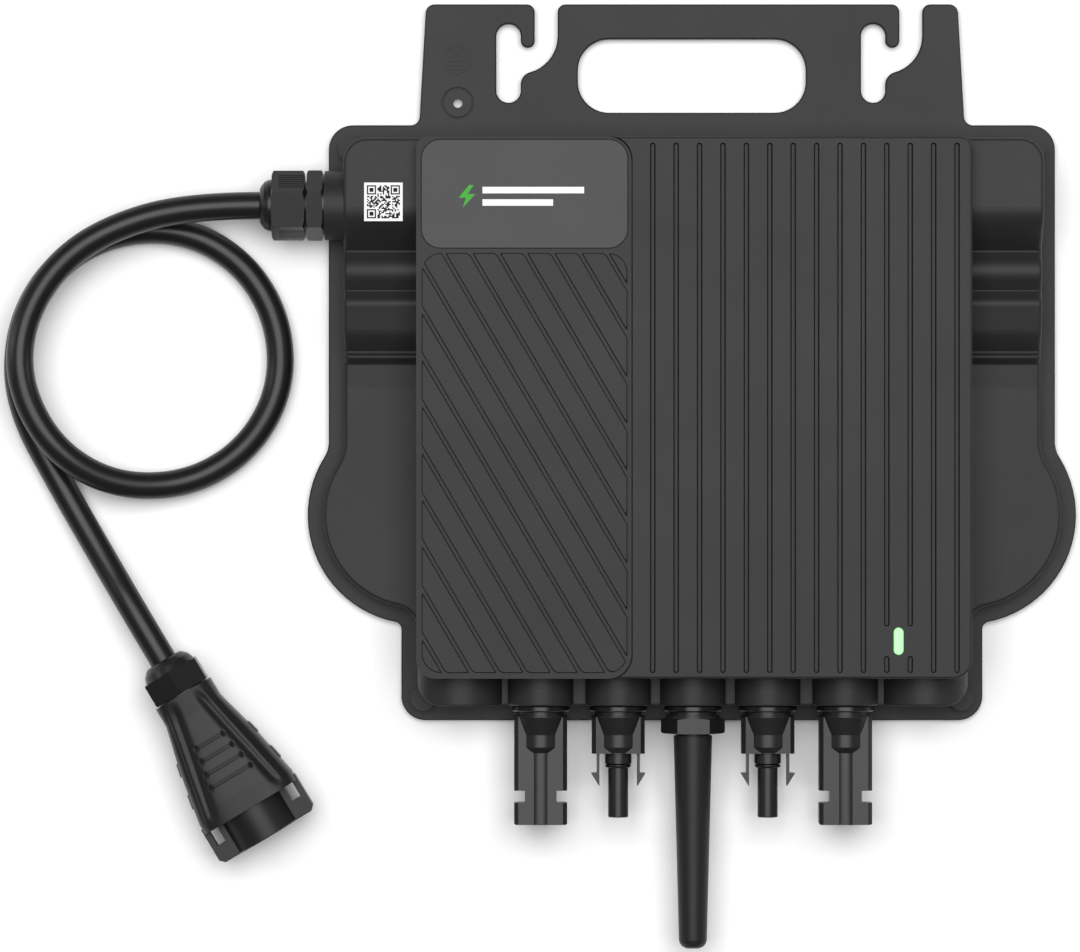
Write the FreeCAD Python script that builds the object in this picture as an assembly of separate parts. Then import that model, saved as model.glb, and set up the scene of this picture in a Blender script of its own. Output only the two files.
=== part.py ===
import FreeCAD, Part
import math
import os
from FreeCAD import Rotation, Vector

# Micro inverter, lying on its flat back. Millimetres.
# +X is to the right of someone facing the front cover, +Y points to the carrying handle,
# +Z points out of the front cover. The origin is on the back face, at mid width and at
# mid height of the enclosure below the handle tab.

# ---- mounting plate: flange, round wings and the handle tab -------------------------------
plate_thickness = 4.0
half_width = 130.6
enclosure_top = 107.0
enclosure_bottom = -107.0
lower_step = 26.1
wing_radius = 39.2
wing_bulge = 7.6
wing_y = -33.2
flange_corner = 8.7
flange_waist = 10.0
flange_hip = 2.7
edge_break = 0.5
tab_height = 43.5
tab_base_half = 98.1
tab_top_half = 95.6
tab_corner = 3.2
handle_half = 41.0
handle_low = 4.5
handle_opening = 26.5
handle_corner = 11.2
hook_width = 8.8
hook_low = 8.1
hook_depth = 28.4
hook_finger = 5.0
hook_throat = 8.3
hook_finger_end = 28.0
hook_centres = (-65.95, 65.25)
throat_sweep = 13.6
throat_lip = 4.5
throat_corner = 2.8
earth_x = -84.2
earth_up = 7.9
earth_groove_outer = 5.9
earth_groove_inner = 4.9
earth_groove_depth = 1.4
earth_thread_radius = 1.65
earth_mark_up = 23.6
earth_mark_radius = 4.9
relief = 0.35

# ---- front housing ----------------------------------------------------------------------
overall_depth = 40.0
gasket_thickness = 0.8
shell_inset = 5.9
wall = 3.2
roof = 2.0
block_half = 98.5
block_bottom = -91.0
block_corner = 6.8
block_top_corner = 4.0
shoulder_height = 31.0
low_height = 13.0
shoulder_round = 1.4
# Side profile of the shoulders below the high flat: distance below the gland's axis, height
# over the low flat, and how round the bend is.
shoulder_bends = [
    (5.2, 18.0, 10.0),
    (16.3, 6.0, 0.8),
    (23.0, 11.0, 7.0),
    (30.5, 6.5, 0.6),
    (34.5, 9.5, 3.5),
    (46.5, 6.8, 8.0),
    (52.3, 1.6, 0.8),
    (54.1, 3.4, 0.9),
    (56.6, 0.6, 1.2),
    (64.9, 0.0, 12.0),
]
shell_corner_top = 8.5
shell_corner_bottom = 9.0
rim_round = 0.9
rib_depth = 1.2
recess_right = -21.8
recess_corner = 8.6
recess_draft = 0.4
groove_count = 14
groove_first = -14.7
groove_pitch = 8.29
groove_width = 2.0
groove_floor_width = 1.0
groove_top_gap = 2.2
groove_bottom_gap = 2.0

# ---- diagonal pads and name panel, in the recess on the left of the front ------------------
pad_left = -96.6
pad_right = -23.6
pad_bottom = -89.0
pad_top = 59.9
pad_height = 1.0
pad_pitch = 8.33
pad_gap = 1.0
pad_draft = 0.34
pad_slope = 59.7
pad_phase = -46.5
pad_corner = 2.6
pad_tip = 0.3
pad_field_corner = 7.0
pad_least = 8.0
panel_bottom = 61.6
panel_top = 100.0
panel_corner = 6.8
panel_thickness = 1.0
panel_sunk = 0.8
panel_gap = 0.35

# ---- code label on the left shoulder ------------------------------------------------------
label_size = 13.7
label_thickness = 0.15
label_x = -110.3
label_above = 0.8

# ---- status light ---------------------------------------------------------------------
light_x = 72.4
light_y = -77.7
light_width = 3.4
light_length = 9.6
light_fit = 0.08
light_gap = 0.4

# ---- fasteners and seals ------------------------------------------------------------------
screw_radius = 1.5
screw_head_radius = 3.0
screw_head_height = 1.6
screw_fit = 0.05
corner_boss_radius = 4.5
corner_boss_top = 9.5
inner_boss_radius = 4.0
gasket_edge = 0.4

# ---- connector row along the bottom wall ---------------------------------------------------
row_height = 19.0
boss_radius = 11.7
boss_round = 0.7
valley_height = 19.0
plug_x = 26.7
socket_x = 54.4
end_bump_x = 83.0
end_bump_radius = 15.5
end_bump_height = 14.5
stem_radius = 7.3
stem_fit = 0.05
stem_length = 12.6
panel_seal_radius = 10.3
panel_seal_thickness = 2.1
lip_radius = 9.6
body_start = 4.1
body_width = 18.9
body_thickness = 11.2
body_bevel = 1.5
socket_length = 42.5
plug_body_length = 17.1
plug_collar_length = 20.7
plug_tube_length = 40.0
barrel_radius = 6.1
tube_radius = 3.6
tube_neck_radius = 3.2
tube_neck_end = 22.4
ring_section = 0.7
socket_bore = 3.9
socket_mouth_radius = 4.5
socket_mouth_depth = 8.0
window_start = 30.3
window_end = 34.7
window_neck = 11.3
contact_radius = 1.5
latch_offset = 7.2
latch_thickness = 1.0
latch_width = 6.0
latch_gap = 0.4
barb_start = 24.0
barb_end = 28.6
barb_height = 2.0

# ---- antenna -----------------------------------------------------------------------------
antenna_nut_flats = 19.8
antenna_nut_start = 4.6
antenna_nut_end = 10.0
antenna_base_radius = 6.9
antenna_tip_radius = 5.0
antenna_length = 86.8
antenna_stem_radius = 4.0

# ---- cable gland on the left wall ----------------------------------------------------------
cable_radius = 4.9
gland_y = 77.5
gland_height = 18.0
gland_boss_radius = 12.4
gland_boss_length = 6.8
gland_flats = 22.0
gland_nut_flats = 21.8
gland_turn = 20.0
gland_stem_radius = 7.9
gland_end = 30.0
gland_thread_radius = 8.6
thread_fit = 0.06
loose_fit = 0.4

# ---- cable on the surface, and its plug ------------------------------------------------------
# Points of the cable's route, from the gland's mouth to the back of the plug.
cable_floor = 5.0
cable_points = [
    (-154.7, 77.5, 18.0),
    (-181.6, 77.5, 18.1),
    (-211.4, 68.4, 18.4),
    (-229.8, 54.0, 18.6),
    (-240.6, 33.5, 18.6),
    (-240.5, 11.3, 18.5),
    (-228.0, -10.6, 18.0),
    (-207.2, -22.8, 12.0),
    (-181.6, -22.5, 5.4),
    (-160.3, -10.3, cable_floor),
    (-147.8, 11.0, cable_floor),
    (-148.2, 35.6, cable_floor),
    (-160.3, 56.9, cable_floor),
    (-181.6, 69.4, cable_floor),
    (-207.7, 69.0, cable_floor),
    (-229.5, 56.6, cable_floor),
    (-242.3, 34.2, cable_floor),
    (-242.6, 6.5, cable_floor),
    (-225.0, -25.6, cable_floor),
    (-210.4, -50.5, 7.6),
    (-199.8, -68.0, 14.0),
    (-189.5, -85.2, 14.2),
]
plug_heading = -59.0
plug_length = 73.4
plug_flats = 20.6
plug_nut_start = 4.6
plug_nut_end = 13.3
plug_spigot_radius = 9.9
plug_spigot_length = 1.5
plug_lip = 61.0
plug_half_back = 11.2
plug_half_front = 19.4
plug_tall_back = 10.6
plug_tall_front = 13.7
shroud_radius = 12.3
shroud_bore = 10.6
shroud_mouth_depth = 5.8
insert_radius = 10.3
face_seal_thickness = 1.2
plug_stem_start = 7.5
ear_inner = 12.9
ear_thickness = 8.0
ear_tip = 1.6
ear_window = 3.3
ear_window_start = 60.5
ear_window_length = 6.3
plug_thread_radius = 8.2

# ---- circuit board and what stands on it -----------------------------------------------------
board_thickness = 1.6
board_height = 9.0
board_half = 88.0
board_bottom = -84.0
board_top = 86.0
standoff_radius = 3.2
board_screw_radius = 1.2
part_gap = 0.6

os.makedirs("parts", exist_ok=True)
parts = {}

lower_half_width = half_width - lower_step
tab_top = enclosure_top + tab_height
wing_reach = half_width + wing_bulge
wing_x = wing_reach - wing_radius
shell_base = plate_thickness + gasket_thickness
shell_left = -(half_width - shell_inset)
shell_bottom = enclosure_bottom + shell_inset
shell_top = enclosure_top - shell_inset
rib_floor = overall_depth - rib_depth
cavity_roof = rib_floor - roof
board_face = board_height + board_thickness
handle_y = enclosure_top + handle_low
hook_y = enclosure_top + hook_low
corner_screws = [
    (side * (half_width - 8.1), enclosure_top - 8.9) for side in (-1, 1)
] + [(side * (lower_half_width - 7.9), enclosure_bottom + 8.1) for side in (-1, 1)]
inner_screws = (
    [(side * 45.0, shell_top - wall - 3.7) for side in (-1, 1)]
    + [(side * (half_width - 13.0), 15.0) for side in (-1, 1)]
    + [(side * (wing_reach - 11.7), wing_y) for side in (-1, 1)]
)
row_screws = [(side * (plug_x + socket_x) / 2, shell_bottom + 6.6) for side in (-1, 1)]
standoffs = [(-82.0, 66.0), (0.0, 80.0), (82.0, 80.0), (-82.0, -76.0), (0.0, -24.0), (82.0, -50.0)]

# A piece is made along its own z and turned to where it points: out of the bottom wall, out
# of the left wall, or along the plug.
to_bottom = Rotation(Vector(1, 0, 0), 90)
to_left = Rotation(Vector(0, 1, 0), -90)
to_plug = Rotation(Vector(0, 0, 1), plug_heading + 90).multiply(to_bottom)
gland_origin = Vector(shell_left, gland_y, gland_height)
plug_origin = Vector(*cable_points[-1])


def row_origin(x):
    return Vector(x, shell_bottom, row_height)


def place(shape, origin, rotation):
    moved = shape.copy()
    moved.Placement = FreeCAD.Placement(origin, rotation)
    return moved


def box(x0, x1, y0, y1, z0, z1):
    return Part.makeBox(x1 - x0, y1 - y0, z1 - z0, Vector(x0, y0, z0))


def rod(radius, x, y, z0, z1):
    return Part.makeCylinder(radius, z1 - z0, Vector(x, y, z0))


def bar(radius, start, end):
    run = Vector(*end).sub(Vector(*start))
    return Part.makeCylinder(radius, run.Length, Vector(*start), run)


def union(shapes):
    first, rest = shapes[0], list(shapes[1:])
    return first.fuse(rest).removeSplitter() if rest else first


def prism(points, z0, z1):
    ring = [Vector(x, y, z0) for x, y in points]
    face = Part.Face(Part.makePolygon(ring + ring[:1]))
    return face.extrude(Vector(0, 0, z1 - z0))


def turned(profile):
    """Solid of revolution about z, from (radius, height) points."""
    ring = [Vector(radius, 0, height) for radius, height in profile]
    face = Part.Face(Part.makePolygon(ring + ring[:1]))
    return face.revolve(Vector(0, 0, 0), Vector(0, 0, 1), 360)


def tube_ring(inner, outer, z0, z1):
    return turned([(inner, z0), (outer, z0), (outer, z1), (inner, z1)])


def hex_bar(across_flats, z0, z1, turn=0.0, ease=0.9):
    """Hexagon bar with its end corners eased, as on a nut."""
    corner = across_flats / math.sqrt(3)
    angles = [math.radians(60 * k + turn) for k in range(6)]
    sharp = prism([(corner * math.cos(a), corner * math.sin(a)) for a in angles], z0, z1)
    slope = ease * 0.5
    ends = [(0, z0), (corner - ease, z0), (corner, z0 + slope)]
    ends += [(corner, z1 - slope), (corner - ease, z1), (0, z1)]
    eased = turned(ends)
    return sharp.common(eased)


def is_upright(edge):
    low, high = edge.BoundBox.ZMin, edge.BoundBox.ZMax
    return edge.BoundBox.XLength < 0.01 and edge.BoundBox.YLength < 0.01 and high - low > 0.05


def round_uprights(solid, spots):
    """Rounds the upright edges that stand at the given (x, y, radius) spots."""
    for radius in sorted({spot[2] for spot in spots}):
        chosen = [
            edge
            for edge in solid.Edges
            if is_upright(edge)
            and any(
                r == radius and math.hypot(edge.BoundBox.XMin - x, edge.BoundBox.YMin - y) < 0.05
                for x, y, r in spots
            )
        ]
        solid = solid.makeFillet(radius, chosen)
    return solid


def edges_at(solid, height, keep=lambda edge: True):
    return [
        edge
        for edge in solid.Edges
        if abs(edge.BoundBox.ZMin - height) < 0.01 and abs(edge.BoundBox.ZMax - height) < 0.01 and keep(edge)
    ]


def slab(x0, x1, y0, y1, z0, z1, radius):
    corners = [(x, y, radius) for x in (x0, x1) for y in (y0, y1)]
    return round_uprights(box(x0, x1, y0, y1, z0, z1), corners)


def rounded_rect(x0, x1, y0, y1, radius, z):
    """Closed wire at height z, running anticlockwise: four runs and four corner arcs."""
    k = radius * (1 - math.sqrt(0.5))
    corners = [(x1, y0, -1, 1), (x1, y1, -1, -1), (x0, y1, 1, -1), (x0, y0, 1, 1)]
    arcs = []
    for number, (x, y, sx, sy) in enumerate(corners):
        beside = Vector(x, y + sy * radius, z)
        below = Vector(x + sx * radius, y, z)
        start, end = (below, beside) if number % 2 == 0 else (beside, below)
        arcs.append((start, Vector(x + sx * k, y + sy * k, z), end))
    edges = []
    for arc, following in zip(arcs, arcs[1:] + arcs[:1]):
        edges.append(Part.Arc(*arc).toShape())
        edges.append(Part.LineSegment(arc[2], following[0]).toShape())
    return Part.Wire(edges)


def stadium_wire(x, y, width, length, z):
    radius, half = width / 2, (length - width) / 2

    def at(px, py):
        return Vector(x + px, y + py, z)

    edges = [
        Part.LineSegment(at(radius, -half), at(radius, half)),
        Part.Arc(at(radius, half), at(0, half + radius), at(-radius, half)),
        Part.LineSegment(at(-radius, half), at(-radius, -half)),
        Part.Arc(at(-radius, -half), at(0, -half - radius), at(radius, -half)),
    ]
    return Part.Wire([edge.toShape() for edge in edges])


def stadium(x, y, width, length, z0, z1):
    """Upright slot shape, its long side along y."""
    half = (length - width) / 2
    radius = width / 2
    middle = box(x - radius, x + radius, y - half, y + half, z0, z1)
    return union([middle, rod(radius, x, y - half, z0, z1), rod(radius, x, y + half, z0, z1)])


# ---- enclosure outline ------------------------------------------------------------------


def outline_prism(inset, z0, z1, top, waist, hip, bottom):
    """The enclosure's outline, moved in by an inset and extruded, with its corners rounded."""
    wide, low = half_width - inset, lower_half_width - inset
    radius = wing_radius - inset
    y_top, y_bottom = enclosure_top - inset, enclosure_bottom + inset
    y_waist = wing_y + math.sqrt(radius**2 - (wide - wing_x) ** 2)
    y_hip = wing_y - math.sqrt(radius**2 - (low - wing_x) ** 2)

    def at(x, y):
        return Vector(x, y, z0)

    edges = [
        Part.LineSegment(at(-wide, y_top), at(wide, y_top)),
        Part.LineSegment(at(wide, y_top), at(wide, y_waist)),
        Part.Arc(at(wide, y_waist), at(wing_x + radius, wing_y), at(low, y_hip)),
        Part.LineSegment(at(low, y_hip), at(low, y_bottom)),
        Part.LineSegment(at(low, y_bottom), at(-low, y_bottom)),
        Part.LineSegment(at(-low, y_bottom), at(-low, y_hip)),
        Part.Arc(at(-low, y_hip), at(-wing_x - radius, wing_y), at(-wide, y_waist)),
        Part.LineSegment(at(-wide, y_waist), at(-wide, y_top)),
    ]
    face = Part.Face(Part.Wire([edge.toShape() for edge in edges]))
    solid = face.extrude(Vector(0, 0, z1 - z0))
    spots = []
    for side in (-1, 1):
        spots += [(side * wide, y_top, top), (side * wide, y_waist, waist)]
        spots += [(side * low, y_hip, hip), (side * low, y_bottom, bottom)]
    return round_uprights(solid, spots)


def shell_prism(inset, z0, z1):
    tighter = inset - shell_inset
    return outline_prism(
        inset,
        z0,
        z1,
        shell_corner_top - tighter,
        flange_waist + inset,
        flange_hip + inset,
        shell_corner_bottom - tighter,
    )


# ---- mounting plate ------------------------------------------------------------------------


def hook_cut(centre):
    """Opening of one hanging hook: an upright slot, entered from the tab's top edge through a
    throat that curves in under a rounded finger."""
    low, high = -1.0, plate_thickness + 1.0
    right = centre + hook_width / 2
    finger_right = right + hook_finger
    throat_right = finger_right + hook_throat
    sweep_y = hook_y + hook_depth - 4.3
    slot = stadium(centre, hook_y + hook_depth / 2, hook_width, hook_depth, low, high)
    sweep = rod(throat_sweep, throat_right - throat_sweep, sweep_y, low, high)
    sweep = sweep.common(box(centre, throat_right, hook_y, sweep_y, low, high))
    throat = box(centre, throat_right, sweep_y - 0.1, tab_top + 1.0, low, high)
    finger_tip = enclosure_top + hook_finger_end
    finger = union(
        [
            box(right, finger_right, finger_tip + hook_finger / 2, tab_top + 2.0, low, high),
            rod(hook_finger / 2, right + hook_finger / 2, finger_tip + hook_finger / 2, low, high),
        ]
    )
    left_of_slot = box(centre - 1.0, right, hook_y + hook_depth / 2, tab_top + 2.0, low, high)
    opening = union([sweep, throat]).cut([finger, left_of_slot])
    return union([slot, opening])


def earth_mark(x, y, radius):
    """Protective earth symbol in raised lines: a ring, a stem and three bars."""
    low, high, line = plate_thickness - 0.2, plate_thickness + relief, 0.32
    ring = tube_ring(radius - line, radius + line, low, high).translated(Vector(x, y, 0))
    stem = box(x - line, x + line, y - 0.3, y + radius * 0.75, low, high)
    bars = [
        box(x - half, x + half, y - drop - line, y - drop + line, low, high)
        for half, drop in ((radius * 0.72, 0.3), (radius * 0.5, 1.9), (radius * 0.28, 3.4))
    ]
    return [ring, stem] + bars


def countersinks():
    tools = []
    for x, y in corner_screws + inner_screws + row_screws:
        profile = [
            (0, -1),
            (screw_head_radius + screw_fit, -1),
            (screw_head_radius + screw_fit, 0.15),
            (screw_radius + screw_fit, screw_head_height + 0.15),
            (screw_radius + screw_fit, plate_thickness + 1),
            (0, plate_thickness + 1),
        ]
        tools.append(turned(profile).translated(Vector(x, y, 0)))
    return tools


def make_mounting_plate():
    flange = outline_prism(0, 0, plate_thickness, flange_corner, flange_waist, flange_hip, flange_corner)
    base = enclosure_top - flange_corner
    tab = prism(
        [
            (-tab_base_half, base),
            (tab_base_half, base),
            (tab_base_half, enclosure_top),
            (tab_top_half, tab_top),
            (-tab_top_half, tab_top),
            (-tab_base_half, enclosure_top),
        ],
        0,
        plate_thickness,
    )
    plate = union([flange, tab])
    root = [(side * tab_base_half, enclosure_top, tab_corner) for side in (-1, 1)]
    tips = [(side * tab_top_half, tab_top, tab_corner) for side in (-1, 1)]
    plate = round_uprights(plate, root + tips)
    handle = slab(
        -handle_half, handle_half, handle_y, handle_y + handle_opening, -1, plate_thickness + 1, handle_corner
    )
    plate = plate.cut([handle] + [hook_cut(centre) for centre in hook_centres])
    spots = []
    for centre in hook_centres:
        right = centre + hook_width / 2
        throat_right = right + hook_finger + hook_throat
        reach = math.sqrt(throat_sweep**2 - (throat_right - throat_sweep - right) ** 2)
        spots += [(right, hook_y + hook_depth - 4.3 - reach, throat_lip)]
        spots += [(x, tab_top, throat_corner) for x in (right + hook_finger, throat_right)]
    plate = round_uprights(plate, spots)
    plate = plate.makeChamfer(edge_break, edges_at(plate, plate_thickness) + edges_at(plate, 0))
    earth_y = enclosure_top + earth_up
    groove_floor = plate_thickness - earth_groove_depth
    around = tube_ring(earth_groove_inner, earth_groove_outer, groove_floor, plate_thickness + 1)
    around = around.translated(Vector(earth_x, earth_y, 0))
    thread = rod(earth_thread_radius, earth_x, earth_y, -1, plate_thickness + 1)
    plate = plate.cut([around, thread] + countersinks())
    posts = [rod(standoff_radius, x, y, plate_thickness - 0.5, board_height) for x, y in standoffs]
    mark = earth_mark(earth_x - 0.4, enclosure_top + earth_mark_up, earth_mark_radius)
    plate = union([plate] + posts + mark)
    holes = [rod(board_screw_radius + screw_fit, x, y, 2.0, board_height + 1) for x, y in standoffs]
    return plate.cut(holes)


# ---- front housing ---------------------------------------------------------------------------


def rounded_path(points):
    """Edges of straight runs through the points, each bend replaced by a tangent arc of the
    radius given with it."""
    edges, here = [], points[0][0]
    for (before, _), (corner, radius), (after, _) in zip(points, points[1:], points[2:]):
        back, ahead = before.sub(corner).normalize(), after.sub(corner).normalize()
        turn = math.pi - back.getAngle(ahead)
        reach = radius * math.tan(turn / 2)
        start, end = corner + back * reach, corner + ahead * reach
        inward = (back + ahead).normalize()
        middle = corner + inward * (radius / math.cos(turn / 2) - radius)
        edges += [Part.LineSegment(here, start).toShape(), Part.Arc(start, middle, end).toShape()]
        here = end
    edges.append(Part.LineSegment(here, points[-1][0]).toShape())
    return edges


def shoulder_body():
    """Shoulders across the full width: a high flat beside the gland, two rounded ridges and a
    bead below it, and a cove down to the low flat."""
    reach = wing_reach + 5

    def at(y, z):
        return Vector(-reach, y, z)

    bends = [(at(gland_y - below, low_height + rise), radius) for below, rise, radius in shoulder_bends]
    high, low = at(enclosure_top, shoulder_height), at(enclosure_bottom, low_height)
    edges = rounded_path([(high, 0)] + bends + [(low, 0)])
    ring = [low, at(enclosure_bottom, shell_base), at(enclosure_top, shell_base), high]
    edges += [Part.LineSegment(a, b).toShape() for a, b in zip(ring, ring[1:])]
    solid = Part.Face(Part.Wire(edges)).extrude(Vector(2 * reach, 0, 0))
    body = solid.common(shell_prism(shell_inset, shell_base, shoulder_height + 1))
    return body.makeFillet(shoulder_round, outer_top_edges(body))


def outer_top_edges(body):
    """Edges where the shoulders' top meets their upright walls, and not where walls meet."""
    walls = [
        face
        for face in body.Faces
        if abs(face.normalAt(0, 0).z) < 0.01 and face.BoundBox.ZMin < shell_base + 0.1
    ]
    chosen = []
    for edge in body.Edges:
        if is_upright(edge) or edge.BoundBox.ZMax < shell_base + 0.5:
            continue
        middle = edge.valueAt((edge.FirstParameter + edge.LastParameter) / 2)
        on_walls = [wall for wall in walls if wall.distToShape(Part.Vertex(middle))[0] < 0.001]
        if len(on_walls) == 1:
            chosen.append(edge)
    return chosen


def row_body():
    """Bottom strip of the housing: a round boss behind each connector and a wide bump at each
    end, trimmed to the shell's outline."""
    y0, y1 = shell_bottom - 1, block_bottom + wall
    pieces = [box(-end_bump_x + 12, end_bump_x - 12, y0, y1, shell_base, valley_height)]
    for x in (-socket_x, -plug_x, 0.0, plug_x, socket_x):
        pieces.append(bar(boss_radius, (x, y0, row_height), (x, y1, row_height)))
    for side in (-1, 1):
        x = side * end_bump_x
        pieces.append(bar(end_bump_radius, (x, y0, end_bump_height), (x, y1, end_bump_height)))
    limits = shell_prism(shell_inset, shell_base, overall_depth)
    row = union(pieces).common(limits)
    ends = [
        edge
        for edge in row.Edges
        if edge.BoundBox.YLength < 0.01 and abs(edge.BoundBox.YMin - shell_bottom) < 0.01
        and edge.BoundBox.ZMax > shell_base + 1 and edge.BoundBox.XMax - edge.BoundBox.XMin > 0.01
    ]
    return row.makeFillet(boss_round, ends)


def groove(x, start, end):
    """Slot with sloping walls and round ends, cut into the block's front."""
    above = 1.0
    flare = (groove_width - groove_floor_width) / rib_depth
    wide = groove_width + flare * above
    middle, length = (start + end) / 2, end - start
    low = stadium_wire(x, middle, groove_floor_width, length - flare * rib_depth, rib_floor)
    high = stadium_wire(x, middle, wide, length + flare * above, overall_depth + above)
    return Part.makeLoft([low, high], True, True)


def block_shape(top):
    block = box(-block_half, block_half, block_bottom, shell_top, shell_base, top)
    spots = [(side * block_half, block_bottom, block_corner) for side in (-1, 1)]
    spots += [(side * block_half, shell_top, block_top_corner) for side in (-1, 1)]
    block = round_uprights(block, spots)
    return block.makeFillet(rim_round, edges_at(block, top))


def block_body():
    """Raised front block, with the recess for the pads and the grooves cut in its face."""
    beyond, above = 30.0, 5.0
    left, low, high = -block_half - beyond, block_bottom - recess_draft, shell_top + recess_draft
    floor = rounded_rect(
        left, recess_right - recess_draft, low + recess_draft, high - recess_draft, recess_corner, rib_floor
    )
    rise = recess_draft * above / rib_depth
    mouth = rounded_rect(
        left, recess_right + rise, low - rise, high + rise, recess_corner, overall_depth + above
    )
    recess = Part.makeLoft([floor, mouth], True, True)
    block = union([block_shape(overall_depth).cut(recess), block_shape(rib_floor)])
    tools = []
    for k in range(groove_count):
        x = groove_first + k * groove_pitch
        low, high = block_bottom + groove_bottom_gap, shell_top - groove_top_gap
        spans = [(low, high)]
        if abs(x - light_x) < groove_pitch:
            clear = light_length / 2 + light_gap
            spans = [(low, light_y - clear), (light_y + clear, high)]
        tools += [groove(x, start, end) for start, end in spans]
    return block.cut(tools)


def pad_shapes():
    """Slanted pads: strips with sloping sides, clipped to the pad field, corners rounded."""
    base, top = rib_floor - 0.1, rib_floor + pad_height
    lean = pad_draft * (top - base) / pad_height
    outline = rounded_rect(pad_left, pad_right, pad_bottom, pad_top, pad_field_corner, base)
    crown = rounded_rect(
        pad_left + lean, pad_right - lean, pad_bottom + lean, pad_top - lean, pad_field_corner - lean, top
    )
    field = Part.makeLoft([outline, crown], True, True)
    slope = math.radians(-pad_slope)
    along = Vector(math.cos(slope), math.sin(slope), 0)
    across = Vector(-along.y, along.x, 0)
    reach = pad_top - pad_bottom + pad_right - pad_left
    wide, slim = (pad_pitch - pad_gap) / 2, (pad_pitch - pad_gap) / 2 - lean
    count = math.ceil(reach / 2 / pad_pitch)
    pads = []
    for k in range(-count, count + 1):
        middle = across * (pad_phase + (k + 0.5) * pad_pitch) - along * reach
        section = [(-wide, base), (wide, base), (slim, top), (-slim, top)]
        ring = [middle + across * side + Vector(0, 0, z) for side, z in section]
        strip = Part.Face(Part.makePolygon(ring + ring[:1])).extrude(along * (2 * reach))
        pads += [ease_pad(solid) for solid in strip.common(field).Solids if solid.Volume > pad_least]
    return pads


def ease_pad(solid):
    """Rounds the pad's rising edges, most where it ends bluntly against the field's ends."""
    blunt, sharp = [], []
    for edge in solid.Edges:
        if edge.BoundBox.ZLength < 0.9 * pad_height:
            continue
        middle = edge.CenterOfMass
        faces = solid.ancestorsOfType(edge, Part.Face)
        first, second = [face.normalAt(*face.Surface.parameter(middle)) for face in faces]
        if first.dot(second) > 0.98:
            continue
        on_ends = min(abs(middle.y - pad_top), abs(middle.y - pad_bottom)) < pad_draft
        (blunt if first.dot(second) > 0 and on_ends else sharp).append(middle)
    for radius, spots in ((pad_corner, blunt), (pad_tip, sharp)):
        chosen = [e for e in solid.Edges if any(e.CenterOfMass.distanceToPoint(m) < 0.05 for m in spots)]
        solid = solid.makeFillet(radius, chosen) if chosen else solid
    return solid


def inner_space():
    """What is hollow inside the housing: the room under the block, a low room out to the walls
    and a pocket behind the gland and its mirror image."""
    inner = shell_inset + wall
    low = shell_prism(inner, shell_base - 1, low_height - wall)
    low = low.cut(box(-200, 200, enclosure_bottom, block_bottom + wall, 0, overall_depth))
    side = block_half - wall
    room = slab(-side, side, block_bottom + wall, shell_top - wall, shell_base - 1, cavity_roof, 3.0)
    pockets = shell_prism(inner, shell_base - 1, shoulder_height - wall - 1.3)
    pocket_bottom = gland_y - cable_radius - loose_fit
    pockets = pockets.common(box(-200, 200, pocket_bottom, shell_top, 0, overall_depth))
    return union([low, room, pockets])


def polarity_marks():
    """Raised plus over each plug connector and raised minus over each socket connector."""
    low, high = row_height + boss_radius - 1.0, row_height + boss_radius + 0.25
    y, half, line = (shell_bottom + block_bottom) / 2, 1.9, 0.4
    marks = []
    for x in (-socket_x, -plug_x, plug_x, socket_x):
        marks.append(box(x - half, x + half, y - line, y + line, low, high))
        if abs(x) == plug_x:
            marks.append(box(x - line, x + line, y - half, y + half, low, high))
    return marks


def make_front_housing():
    outer = [shoulder_body(), block_body(), row_body()]
    x, y, z = shell_left, gland_y, gland_height
    outer.append(bar(gland_boss_radius, (x + wall, y, z), (x - gland_boss_length, y, z)))
    for x, y in corner_screws:
        outer.append(rod(corner_boss_radius, x, y, shell_base, corner_boss_top))
    shell = union(outer).cut(inner_space())
    limits = shell_prism(shell_inset + 0.5, shell_base, low_height)
    bosses = [rod(inner_boss_radius, x, y, shell_base, low_height) for x, y in inner_screws]
    shell = union([shell] + [boss.common(limits) for boss in bosses] + pad_shapes() + polarity_marks())
    cuts = [rod(screw_radius + screw_fit, x, y, 0, corner_boss_top - 0.7) for x, y in corner_screws]
    cuts += [rod(screw_radius + screw_fit, x, y, 0, low_height - 1.4) for x, y in inner_screws + row_screws]
    y0, y1 = shell_bottom - 1, block_bottom + wall + 1
    for x in (-socket_x, -plug_x, plug_x, socket_x):
        cuts.append(bar(stem_radius + stem_fit, (x, y0, row_height), (x, y1, row_height)))
    cuts.append(bar(antenna_stem_radius + stem_fit, (0, y0, row_height), (0, y1, row_height)))
    mouth = (shell_left - gland_boss_length - 1, gland_y, gland_height)
    bore_end = (shell_left + wall + 1, gland_y, gland_height)
    cuts.append(bar(gland_stem_radius + stem_fit, mouth, bore_end))
    fit = 2 * light_fit
    cuts.append(
        stadium(light_x, light_y, light_width + fit, light_length + fit, cavity_roof - 1, overall_depth + 1)
    )
    cuts.append(
        slab(
            pad_left - panel_gap,
            pad_right + panel_gap,
            panel_bottom - panel_gap,
            panel_top + panel_gap,
            rib_floor - panel_sunk,
            overall_depth,
            panel_corner + panel_gap,
        )
    )
    return shell.cut(cuts)


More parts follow.
